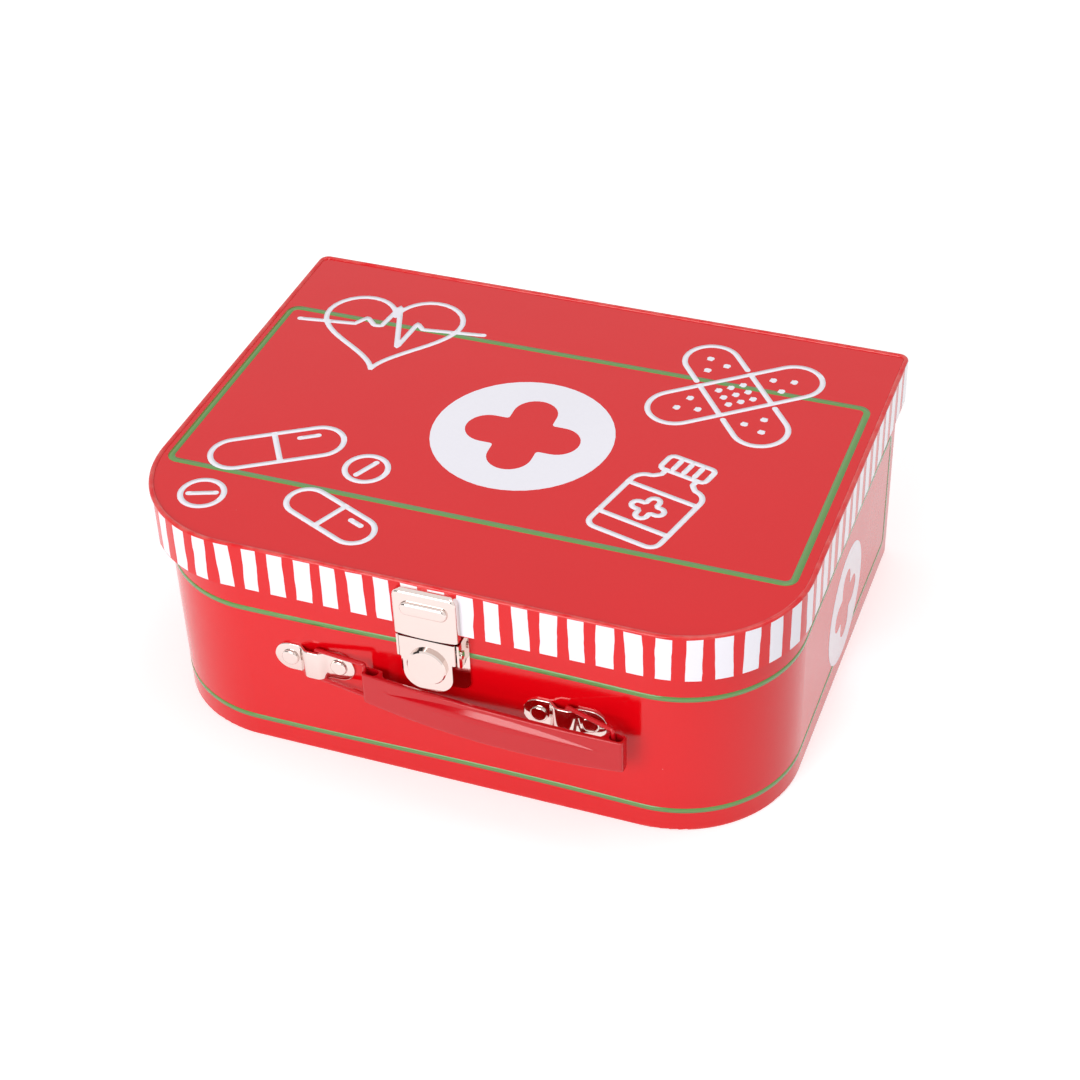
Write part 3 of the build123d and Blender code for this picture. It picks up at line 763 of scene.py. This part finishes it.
cut_tree, given, output = ink_tree("cut_slots", {}, objects=("Left Slot", "Right Slot"))
tree = cut_tree
cut = add(tree, "GeometryNodeMeshBoolean", operation="DIFFERENCE", solver="EXACT")
tree.links.new(given["Geometry"], cut.inputs[0])
for label in ("Left Slot", "Right Slot"):
    slot_mesh = add(tree, "GeometryNodeObjectInfo", {"Object": given[label]})
    tree.links.new(slot_mesh.outputs["Geometry"], cut.inputs[1])
finish_tree(tree, cut.outputs[0], given["Ink"], output)
cut_values = {"Ink": grip_red, "Left Slot": slots[0], "Right Slot": slots[1]}
grip = grown("grip_strap", grip_blank, [(cut_tree, cut_values)])
grip.data.set_sharp_from_angle(angle=SHARP)
for slot in slots:
    bpy.data.objects.remove(slot)
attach(grip, "handle_grip")
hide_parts("handle_grip")

# %% [markdown]
# ## Stripes round the rim
# The rim is papered with a strip of white bars that look cut by hand: no two are quite as wide,
# their sides waver and their ends are a little uneven. A shader could mask them, but real faces
# keep their edges sharp from any distance. The tree stands one small grid for each bar in a row,
# then wraps every grid round the rim. A bar's number is read back from where its grid stood.

# %% Stripe tree
stripe_tree, given, output = ink_tree("rim_stripes", {
    "Count": 82, "Pitch": 10.18 * MM, "Width": 5.85 * MM, "Phase": 3.7 * MM, "Bottom": 0.0, "Top": 0.01,
    "Uneven": 0.6 * MM, "Waver": 1.2 * MM, "Thickness": INK_THICK, "Sink": INK_SINK, "Seed": 7,
})
tree = stripe_tree
GRID_STEP = 2.0  # grids stand this far apart before they are wrapped
row = add(tree, "GeometryNodeMeshLine", {"Count": given["Count"], "Offset": (GRID_STEP, 0, 0)}, mode="OFFSET")
bar = add(tree, "GeometryNodeMeshGrid", {"Size X": 1.0, "Size Y": 1.0, "Vertices X": 5, "Vertices Y": 11})
bars = add(tree, "GeometryNodeInstanceOnPoints", {"Points": row.outputs[0], "Instance": bar.outputs[0]})
bars = add(tree, "GeometryNodeRealizeInstances", {0: bars.outputs[0]})
here = add(tree, "ShaderNodeSeparateXYZ", {0: add(tree, "GeometryNodeInputPosition").outputs[0]})
number = maths(tree, "ROUND", maths(tree, "DIVIDE", here.outputs[0], GRID_STEP))
across = minus(tree, here.outputs[0], times(tree, number, GRID_STEP))
height = plus(tree, here.outputs[1], 0.5)


def chance(tree, given, number, shift, spread):
    """A random number from -spread to spread, the same for every point of one bar."""
    seed = plus(tree, given["Seed"], float(shift))
    low = times(tree, spread, -1.0)
    node = add(tree, "FunctionNodeRandomValue", {2: low, 3: spread, 7: number, 8: seed}, data_type="FLOAT")
    return node.outputs[1]


middle = minus(tree, number, times(tree, given["Count"], 0.5))
middle = plus(tree, times(tree, middle, given["Pitch"]), given["Phase"])
shift = times(tree, given["Uneven"], 0.4)
middle = plus(tree, middle, chance(tree, given, number, 1, shift))
wide = plus(tree, given["Width"], chance(tree, given, number, 2, given["Uneven"]))
lean = chance(tree, given, number, 3, given["Uneven"])
lean = times(tree, lean, minus(tree, height, 0.5))
waver_place = add(tree, "ShaderNodeCombineXYZ", {
    0: plus(tree, times(tree, number, 3.7), times(tree, across, 2.3)),
    1: times(tree, height, 2.2), 2: given["Seed"]}).outputs[0]
waver = minus(tree, noise(tree, waver_place, 1.0, 3.0), 0.5)
along = plus(tree, middle, times(tree, across, wide))
along = plus(tree, along, plus(tree, lean, times(tree, waver, given["Waver"])))
end = times(tree, given["Uneven"], 0.45)
low_end = plus(tree, given["Bottom"], maths(tree, "ABSOLUTE", chance(tree, given, number, 4, end)))
high_end = plus(tree, given["Top"], chance(tree, given, number, 5, end))
high_end = plus(tree, high_end, times(tree, across, chance(tree, given, number, 6, end)))
rise = times(tree, height, minus(tree, high_end, low_end))
level = plus(tree, low_end, rise)
rim_curve = add(tree, "GeometryNodeMeshToCurve", {0: given["Geometry"]}).outputs[0]
place = on_wall(tree, rim_curve, along, level, given["Sink"])
sheet = add(tree, "GeometryNodeSetPosition", {"Geometry": bars.outputs[0], "Position": place})
layer = closed_layer(tree, sheet.outputs[0], plus(tree, given["Thickness"], given["Sink"]))
finish_tree(tree, layer, given["Ink"], output)
print("stripe tree:", len(tree.nodes), "nodes")

# %% Stripes on the rim
STRIPE_BELOW_EDGE = 0.85 * MM
stripes = grown("rim_stripes", rim_outline, [(stripe_tree, {
    "Bottom": rim_low[2] + 0.15 * MM, "Top": rim_high[2] - STRIPE_BELOW_EDGE, "Ink": ink_white,
})])
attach(stripes, "lid")

# %% [markdown]
# ## Drawn lines and filled shapes
# The line tree turns each path into a thin ribbon with round ends, lets its width breathe a
# little, as a pen's does, and joins all that touch into one layer. The shape tree fills closed
# paths, and a path inside another becomes a hole. Two more trees place the layer: one lays it on
# the lid, and one wraps it round the base, where the path's x is the distance round the wall and
# its z the distance out of it.

# %% Line and shape trees
line_tree, given, output = ink_tree("ink_lines", {
    "Width": 2.2 * MM, "Step": 1.0 * MM, "Breathe": 0.18, "Layer": INK_THICK + INK_SINK})
tree = line_tree
curve = add(tree, "GeometryNodeMeshToCurve", {0: given["Geometry"]})
curve = add(tree, "GeometryNodeResampleCurve", {
    "Curve": curve.outputs[0], "Length": given["Step"]}, mode="LENGTH")
curve = add(tree, "GeometryNodeSetCurveNormal", {0: curve.outputs[0]}, mode="Z_UP")
here = add(tree, "GeometryNodeInputPosition").outputs[0]
breath = minus(tree, noise(tree, here, 90.0, 1.0), 0.5)
radius = plus(tree, 1.0, times(tree, breath, given["Breathe"]))
curve = add(tree, "GeometryNodeSetCurveRadius", {"Curve": curve.outputs[0], "Radius": radius})
nib = add(tree, "GeometryNodeCurvePrimitiveQuadrilateral", {
    "Width": given["Width"], "Height": given["Layer"]})
ribbon = add(tree, "GeometryNodeCurveToMesh", {
    "Curve": curve.outputs[0], "Profile Curve": nib.outputs[0], "Fill Caps": True})
half = times(tree, given["Width"], 0.5)
dot = add(tree, "GeometryNodeMeshCylinder", {"Vertices": 24, "Radius": half, "Depth": given["Layer"]})
tips = add(tree, "GeometryNodeInstanceOnPoints", {
    "Points": curve.outputs[0], "Selection": add(tree, "GeometryNodeCurveEndpointSelection").outputs[0],
    "Instance": dot.outputs["Mesh"]})
tips = add(tree, "GeometryNodeRealizeInstances", {0: tips.outputs[0]})
whole = add(tree, "GeometryNodeMeshBoolean", {"Self Intersection": True}, operation="UNION", solver="EXACT")
tree.links.new(together(tree, ribbon.outputs[0], tips.outputs[0]), whole.inputs[1])
up = add(tree, "ShaderNodeCombineXYZ", {2: times(tree, given["Layer"], 0.5)})
raised = add(tree, "GeometryNodeSetPosition", {"Geometry": whole.outputs[0], "Offset": up.outputs[0]})
finish_tree(tree, raised.outputs[0], given["Ink"], output)

shape_tree, given, output = ink_tree("ink_shapes", {"Layer": INK_THICK + INK_SINK})
tree = shape_tree
curve = add(tree, "GeometryNodeMeshToCurve", {0: given["Geometry"]})
filled = add(tree, "GeometryNodeFillCurve", {0: curve.outputs[0]})
facing = add(tree, "ShaderNodeSeparateXYZ", {0: add(tree, "GeometryNodeInputNormal").outputs[0]})
down = maths(tree, "LESS_THAN", facing.outputs[2], 0.0)
upright = add(tree, "GeometryNodeFlipFaces", {"Mesh": filled.outputs[0], "Selection": down})
finish_tree(tree, closed_layer(tree, upright.outputs[0], given["Layer"]), given["Ink"], output)
print("line and shape trees ready")

# %% Trees that lay a drawing on the lid or wrap it round the base
lay_tree, given, output = ink_tree("lay_on_lid", {"Height": 0.0, "Sink": INK_SINK})
tree = lay_tree
lift = add(tree, "ShaderNodeCombineXYZ", {2: minus(tree, given["Height"], given["Sink"])})
laid = add(tree, "GeometryNodeSetPosition", {"Geometry": given["Geometry"], "Offset": lift.outputs[0]})
finish_tree(tree, laid.outputs[0], given["Ink"], output)

wrap_tree, given, output = ink_tree("wrap_round_wall", {"Sink": INK_SINK}, objects=("Outline",))
tree = wrap_tree
path = add(tree, "GeometryNodeObjectInfo", {"Object": given["Outline"]})
wall_curve = add(tree, "GeometryNodeMeshToCurve", {0: path.outputs["Geometry"]}).outputs[0]
here = add(tree, "ShaderNodeSeparateXYZ", {0: add(tree, "GeometryNodeInputPosition").outputs[0]})
depth = minus(tree, given["Sink"], here.outputs[2])
place = on_wall(tree, wall_curve, here.outputs[0], here.outputs[1], depth)
bent = add(tree, "GeometryNodeSetPosition", {"Geometry": given["Geometry"], "Position": place})
finish_tree(tree, bent.outputs[0], given["Ink"], output)
print("lay and wrap trees ready")


def print_on_lid(name, paths, ink, tree, values=None, height=0.0):
    """Printing on the lid's panel, drawn in millimetres from its middle."""
    piece = grown(name, drawn_paths(name + "_paths", paths), [
        (tree, {"Ink": ink, **(values or {})}),
        (lay_tree, {"Ink": ink, "Height": panel_high[2] + height}),
    ])
    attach(piece, "lid")


def print_on_wall(name, paths, ink, tree, values=None):
    """Printing on the base's wall: x is the distance round it from the front's middle, y the height."""
    piece = grown(name, drawn_paths(name + "_paths", paths), [
        (tree, {"Ink": ink, **(values or {})}),
        (wrap_tree, {"Ink": ink, "Outline": wall_outline}),
    ])
    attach(piece, "base")


# %% [markdown]
# ## Frame lines, discs and crosses
# A thin green frame runs over the lid, and another one wraps the front and sides of the base and
# closes near the rear corners. A white disc with a cross sits in the middle of the lid and on
# each side wall. The cross is a hole in the white, so the red that shows is the board's own.

# %% Green frames
FRAME_BOX, FRAME_AT, FRAME_LINE = (238.2, 109.3, 3.5), (-0.8, 0.15), 2.6
BAND_LOW, BAND_HIGH, BAND_LINE, BAND_CORNER = 10.3, 63.5, 2.2, 3
BAND_WAVE, BAND_WAVE_RUN = 0.7, 188.0  # the band wanders up and down by so much over such a run
BAND_GAP = 6  # from the band's end to the rear corner
STEADY = 0.05  # how much a printed line's width breathes
straight = WALL["half"] / MM - FRONT_RADIUS / MM
corner_run = math.pi / 2 * FRONT_RADIUS / MM
side_run = (WALL["rear"] - REAR_RADIUS - WALL["front"] - FRONT_RADIUS) / MM
band_end = straight + corner_run + side_run - BAND_GAP
band_middle = (0, (BAND_LOW + BAND_HIGH) / 2)


def wandering(points):
    """A closed path cut into short steps that goes gently up and down."""
    finer = []
    for (x0, y0), (x1, y1) in zip(points, points[1:] + points[:1]):
        steps = max(1, round(abs(x1 - x0) / 8))
        finer += [(x0 + (x1 - x0) * i / steps, y0 + (y1 - y0) * i / steps) for i in range(steps)]
    return [(x, y + BAND_WAVE * math.sin(math.tau * (x + 20) / BAND_WAVE_RUN)) for x, y in finer]


print_on_lid("lid_frame", [(moved(round_box(*FRAME_BOX), FRAME_AT), True)], ink_green, line_tree,
             {"Width": FRAME_LINE * MM, "Breathe": STEADY})
band = moved(round_box(2 * band_end, BAND_HIGH - BAND_LOW, BAND_CORNER), band_middle)
print_on_wall("base_bands", [(wandering(band), True)], ink_green, line_tree,
              {"Width": BAND_LINE * MM, "Breathe": STEADY})

# %% White discs with a cross
def rounded_cross(reach, half_width, inner):
    """A plus with full round ends; inner rounds the corners between its arms."""
    points = []
    for turn in (0, 90, 180, 270):
        arm = arc((half_width + inner, -half_width - inner), inner, 180, 90, 6)
        arm += arc((reach - half_width, 0), half_width, -90, 90, 16)
        points += moved(arm, (0, 0), turn)
    return points


def disc(radius, cross, at):
    """A disc and the cross that is cut out of it."""
    return [(moved(arc((0, 0), radius, 0, 352.5, 47), at), True), (moved(rounded_cross(*cross), at), True)]


LID_DISC, LID_CROSS, LID_DISC_AT = 34.7, (22.5, 8.6, 1.2), (0, -0.3)
SIDE_DISC, SIDE_CROSS, SIDE_HEIGHT, SIDE_FROM_CORNER = 24.5, (15.5, 5.6, 0.8), 30.2, 62.6
OVER_GREEN = INK_THICK * 0.4  # white lies over the green lines by this much
print_on_lid("lid_disc", disc(LID_DISC, LID_CROSS, LID_DISC_AT), ink_white, shape_tree, height=OVER_GREEN)
side_middle = straight + corner_run + SIDE_FROM_CORNER
for side, place in (("right", side_middle), ("left", -side_middle)):
    paths = disc(SIDE_DISC, SIDE_CROSS, (place, SIDE_HEIGHT))
    print_on_wall(f"side_disc_{side}", paths, ink_white, shape_tree, {"Layer": INK_SINK + INK_THICK + OVER_GREEN})

# %% [markdown]
# ## Line drawings on the lid
# Children know the case by its white drawings of a doctor's things. These four are plain ones of
# this notebook's own: a heart with a pulse, crossed plasters, a medicine bottle and capsules.
# Each is a handful of open and closed paths, drawn with one pen.

# %% Heart with a pulse
def heart(size):
    """The usual heart curve, size wide."""
    scale = size / 32
    return [
        (scale * 16 * math.sin(t) ** 3,
         scale * (13 * math.cos(t) - 5 * math.cos(2 * t) - 2 * math.cos(3 * t) - math.cos(4 * t)))
        for t in (2 * math.pi * i / 60 for i in range(60))
    ]


pulse = [(-38, 0), (-15, 0), (-11, 5), (-7, 0), (-4, 0), (0, 15), (6, -14), (10, 4), (13, 0), (38, 0)]
heart_at = (-76, 52)
drawings = [(moved(heart(56), heart_at, 8), True), (moved(pulse, (heart_at[0], heart_at[1] + 1), 8), False)]
print("heart:", len(drawings), "paths")

# %% Crossed plasters
def pore(x, y):
    """A small ring, drawn so small that it prints as a dot."""
    return arc((x, y), 0.5, 0, 315, 7)


PLASTER_LONG, PLASTER_WIDE, PLASTER_GAP = 70, 21, 3.2
plaster_at, plaster_turn = (68, 49), 38
half_wide = PLASTER_WIDE / 2
over = [(round_box(PLASTER_LONG, PLASTER_WIDE, half_wide), True)]
over += [([(x, -half_wide), (x, half_wide)], False) for x in (-half_wide, half_wide)]
over += [(pore(x, y), True) for x in (-5, 0, 5) for y in (-5, 0, 5)]
over += [(pore(side * x, y), True) for side in (-1, 1) for x, y in ((17, 4), (17, -4), (24, 0))]
gap_end, round_at = half_wide + PLASTER_GAP, PLASTER_LONG / 2 - half_wide
under = []
for side in (0, 180):
    tongue = [(gap_end, half_wide), *arc((round_at, 0), half_wide, 90, -90, 20), (gap_end, -half_wide)]
    under.append((moved(tongue, (0, 0), 90 + side), False))
    under += [(moved(pore(x, y), (0, 0), 90 + side), True) for x, y in ((19, 4), (19, -4), (26, 0))]
for path, closed in over + under:
    drawings.append((moved(path, plaster_at, plaster_turn), closed))
print("plasters:", len(over + under), "paths")

# %% Medicine bottle
bottle_at, bottle_turn = (60, -22), -14
bottle = [
    ([(-6.5, 16), (-6.5, 13)] + arc((-9, 5), 5.5, 90, 180, 8) + arc((-10.5, -22), 4, 180, 270, 6)
     + arc((10.5, -22), 4, 270, 360, 6) + arc((9, 5), 5.5, 0, 90, 8) + [(6.5, 13), (6.5, 16)], False),
    (moved(round_box(19, 9, 2), (0, 20.5)), True),
    ([(-14.5, 3), (14.5, 3)], False), ([(-14.5, -17), (14.5, -17)], False),
    (moved(rounded_cross(6.5, 2.2, 0.6), (0, -7)), True),
]
bottle += [([(x, 18), (x, 23)], False) for x in (-4.5, 0, 4.5)]
for path, closed in bottle:
    drawings.append((moved(path, bottle_at, bottle_turn), closed))
print("bottle:", len(bottle), "paths")

# %% Capsules and tablets
def capsule(length, width, at, turn):
    """A capsule with the joint of its two halves and a line of light."""
    paths = [
        (round_box(length, width, width / 2), True), ([(0, -width / 2), (0, width / 2)], False),
        ([(width / 2, width * 0.22), (length / 2 - width / 2, width * 0.22)], False),
    ]
    return [(moved(path, at, turn), closed) for path, closed in paths]


drawings += capsule(50, 18, (-84, -36), 32) + capsule(40, 15, (-48, -68), -24)
for at, turn in (((-98, -70), 20), ((-47, -38), 65)):
    drawings.append((moved(arc((0, 0), 8, 0, 350, 35), at), True))
    drawings.append((moved([(-5, 0), (5, 0)], at, turn), False))
PEN = 2.2 * MM
print_on_lid("lid_drawings", drawings, ink_white, line_tree, {"Width": PEN}, height=OVER_GREEN)

# %% [markdown]
# ## Studio
# The case stands on a plain white floor in a plain white room. Lamps and world together light a
# surface about once over, so that a colour shows as it is written. Floor and room are brighter
# where the camera, a mirror or clear glass looks at them, which makes them white while the case
# keeps its soft shadow. A long dark card stands in front of the case. Only mirrors see it, and it
# gives the bright metal its dark lines.

# %% Studio helpers
bpy.data.objects.remove(rim_outline)
bpy.data.objects.remove(wall_outline)


def stage_sheet(name, wide, tall, grey):
    """A flat sheet about zero in a plain grey: returns it and the tree of its paint."""
    corners = [(x * wide / 2, y * tall / 2, 0) for x, y in ((-1, -1), (1, -1), (1, 1), (-1, 1))]
    mesh = bpy.data.meshes.new(name)
    mesh.from_pydata(corners, [], [(0, 1, 2, 3)])
    paint = bpy.data.materials.new(name + "_paint")
    paint.use_nodes = True
    paint.node_tree.nodes["Principled BSDF"].inputs["Base Color"].default_value = (grey, grey, grey, 1)
    mesh.materials.append(paint)
    return placed(name, mesh), paint.node_tree


def looked_at(tree):
    """One for rays from the camera, from a mirror and through clear glass, and zero for others."""
    path = add(tree, "ShaderNodeLightPath")
    rays = plus(tree, path.outputs["Is Camera Ray"], path.outputs["Is Glossy Ray"])
    return maths(tree, "MINIMUM", plus(tree, rays, path.outputs["Is Transmission Ray"]), 1.0)


print("studio helpers ready")

# %% Floor
FLOOR_WIDE, FLOOR_GREY, FLOOR_GLOW = 6.0, 0.86, 0.42
floor, tree = stage_sheet("floor", FLOOR_WIDE, FLOOR_WIDE, FLOOR_GREY)
surface = tree.nodes["Principled BSDF"]
surface.inputs["Roughness"].default_value = 0.9
surface.inputs["Specular IOR Level"].default_value = 0.0
surface.inputs["Emission Color"].default_value = (1, 1, 1, 1)
tree.links.new(times(tree, looked_at(tree), FLOOR_GLOW), surface.inputs["Emission Strength"])
print("floor is", FLOOR_WIDE, "m wide")

# %% World
ROOM_LIGHT, ROOM_SEEN = 0.55, 1.0
world = bpy.data.worlds.new("room")
bpy.context.scene.world = world
world.use_nodes = True
tree = world.node_tree
background = tree.nodes["Background"]
background.inputs["Color"].default_value = (1, 1, 1, 1)
tree.links.new(between(tree, looked_at(tree), ROOM_LIGHT, ROOM_SEEN), background.inputs["Strength"])
print("the room lights at", ROOM_LIGHT, "and is seen at", ROOM_SEEN)

# %% Card and lamps
CARD_WIDE, CARD_TALL, CARD_GREY = 5.0, 0.9, 0.02
CARD_AT = Vector((-0.9, -1.9, 0.85))
LAMPS = {  # size, power and place
    "front_lamp": (0.9, 16.5, Vector((-0.3, -1.6, 0.8))),
    "top_lamp": (1.2, 7.0, Vector((0.6, 0.3, 1.7))),
}
LAMP_AIM = Vector((0, 0, 0.04))
card, tree = stage_sheet("dark_card", CARD_WIDE, CARD_TALL, CARD_GREY)
card.location = CARD_AT
card.rotation_euler = CARD_AT.to_track_quat("Z", "Y").to_euler()
card.visible_camera = card.visible_diffuse = card.visible_shadow = False
for name, (size, power, at) in LAMPS.items():
    lamp = placed(name, bpy.data.lights.new(name, "AREA"))
    lamp.data.size = size
    lamp.data.energy = power
    lamp.location = at
    lamp.rotation_euler = (LAMP_AIM - at).to_track_quat("-Z", "Y").to_euler()
print("one card and", len(LAMPS), "lamps")

# %% View settings
bpy.context.scene.view_settings.view_transform = "Standard"
print("view transform:", bpy.context.scene.view_settings.view_transform)
